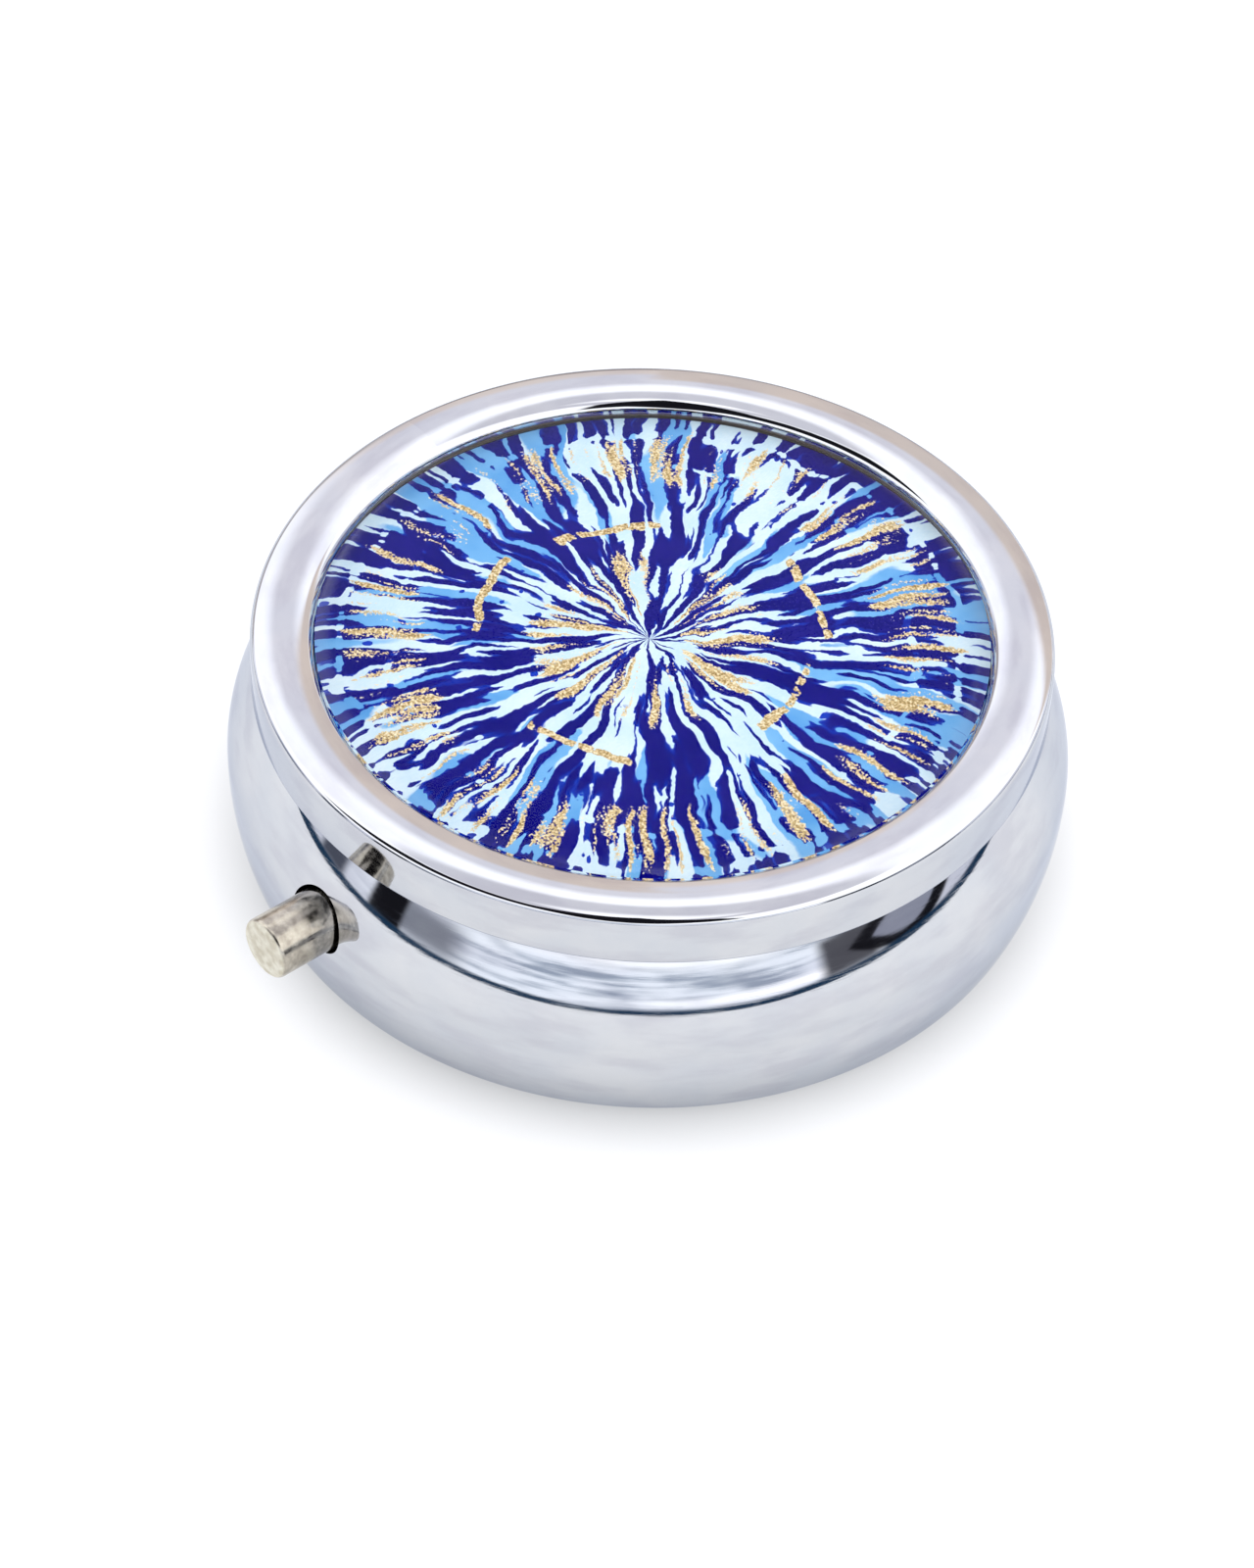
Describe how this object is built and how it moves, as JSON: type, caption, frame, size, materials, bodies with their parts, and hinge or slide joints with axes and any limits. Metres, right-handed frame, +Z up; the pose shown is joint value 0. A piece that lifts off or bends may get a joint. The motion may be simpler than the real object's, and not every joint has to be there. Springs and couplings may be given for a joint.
{
  "type": "pill box",
  "caption": "Round pocket pill box with a bulged bowl, a hinged lid carrying a printed disc under a glass cabochon, a push-button latch and a divided inner tray.",
  "frame": {"origin": "centre of the flat underside, on the axis of the round box", "axes": "+Z up along the axis of the box, -Y towards the push button, +Y towards the hinge, +X to the right when the button faces the viewer"},
  "size_m": [0.0506, 0.0544, 0.017],
  "materials": {
    "chrome_plate": "mirror-polished plating",
    "nickel": "worn nickel plating",
    "plain_steel": "zinc-bright stamped sheet",
    "spring_steel": "drawn wire",
    "tray_plastic": "moulded white polypropylene",
    "printed_paper": "printed art paper",
    "glue_film": "adhesive film",
    "cabochon_glass": "clear polished glass"
  },
  "bodies": {
    "base": {"base_shell": "chrome_plate", "base_collar": "plain_steel", "base_hinge_leaf": "plain_steel", "hinge_pin": "plain_steel", "hinge_spring": "spring_steel", "latch_bracket": "plain_steel", "button_spring": "spring_steel", "tray": "tray_plastic", "hinge_rivet_left": "plain_steel", "hinge_rivet_right": "plain_steel", "bracket_rivet_left": "plain_steel", "bracket_rivet_right": "plain_steel"},
    "lid": {"lid_frame": "chrome_plate", "lid_hinge_leaf": "plain_steel", "lid_catch": "plain_steel", "glue_disc": "glue_film", "print_disc": "printed_paper", "cabochon": "cabochon_glass"},
    "button": {"push_button": "nickel", "latch_slider": "plain_steel", "retaining_washer": "plain_steel"}
  },
  "joints": [
    {"name": "lid_hinge", "type": "hinge", "parent": "base", "child": "lid", "pos_m": [0, 0.024, 0.0126], "axis": [-1, 0, 0], "range_deg": [0, 100]},
    {"name": "button_press", "type": "slide", "parent": "base", "child": "button", "axis": [0, 1, 0], "range_m": [0, 0.001], "stiffness_N_per_m": 900, "springref_m": -0.0005, "deforming": ["button_spring"]}
  ]
}
